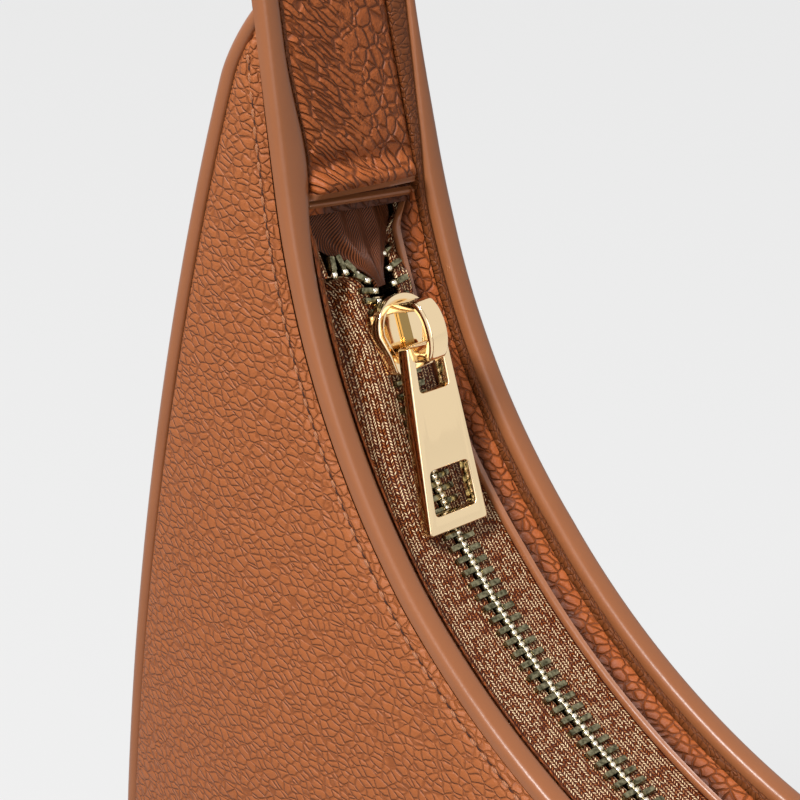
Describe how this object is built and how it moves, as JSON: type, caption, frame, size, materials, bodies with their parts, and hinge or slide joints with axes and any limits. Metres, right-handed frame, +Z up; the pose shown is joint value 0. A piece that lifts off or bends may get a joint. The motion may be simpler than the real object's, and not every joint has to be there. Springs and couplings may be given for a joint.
{
  "type": "shoulder bag",
  "caption": "Crescent shoulder bag of pebbled leather with painted edges, a fixed strap and a metal zip whose slider runs along the curved mouth.",
  "frame": {"origin": "middle of the base, on the surface that the bag stands on", "axes": "+X along the bag, the closed zip's slider at -X; +Y to the back; +Z up to the strap's crown"},
  "size_m": [0.3036, 0.0716, 0.4281],
  "materials": {
    "leather": "pebbled, satin",
    "painted_edge": "smooth edge paint, satin",
    "zip_tape": "woven, matt",
    "twill": "ribbed, matt",
    "cloth_lining": "plain weave, matt",
    "gold_metal": "polished pale gold",
    "tooth_metal": "polished antique brass",
    "spring_steel": "bright",
    "stiffening": "matt board",
    "thread": "twisted thread"
  },
  "bodies": {
    "bag": {"front_panel": "leather", "back_panel": "leather", "gusset": "leather", "front_seam_bead": "painted_edge", "back_seam_bead": "painted_edge", "front_rim": "painted_edge", "back_rim": "painted_edge", "front_edge_strip": "leather", "back_edge_strip": "leather", "front_facing": "leather", "back_facing": "leather", "left_end_patch": "leather", "right_end_patch": "leather", "left_twill_fold": "twill", "right_twill_fold": "twill", "front_zip_tape": "zip_tape", "back_zip_tape": "zip_tape", "front_teeth": "tooth_metal", "back_teeth": "tooth_metal", "bottom_stop": "tooth_metal", "strap_outer": "leather", "strap_lining": "leather", "strap_filler": "stiffening", "front_stiffener": "stiffening", "back_stiffener": "stiffening", "front_lining": "cloth_lining", "back_lining": "cloth_lining", "gusset_lining": "cloth_lining", "slip_pocket": "cloth_lining", "base_board": "stiffening", "front_thread": "thread", "back_thread": "thread"},
    "slider": {"slider_body": "gold_metal", "slider_bridge": "gold_metal", "lock_spring": "spring_steel"},
    "pull": {"pull_tab": "gold_metal"}
  },
  "joints": [
    {"name": "slider_travel", "type": "hinge", "parent": "bag", "child": "slider", "pos_m": [0, 0, 0.2447], "axis": [0, -1, 0], "range_deg": [0, 132], "deforming": ["front_teeth", "back_teeth", "front_zip_tape", "back_zip_tape"]},
    {"name": "pull_swing", "type": "hinge", "parent": "slider", "child": "pull", "pos_m": [-0.10126, 0, 0.20291], "axis": [0, -1, 0], "range_deg": [0, 115]}
  ]
}
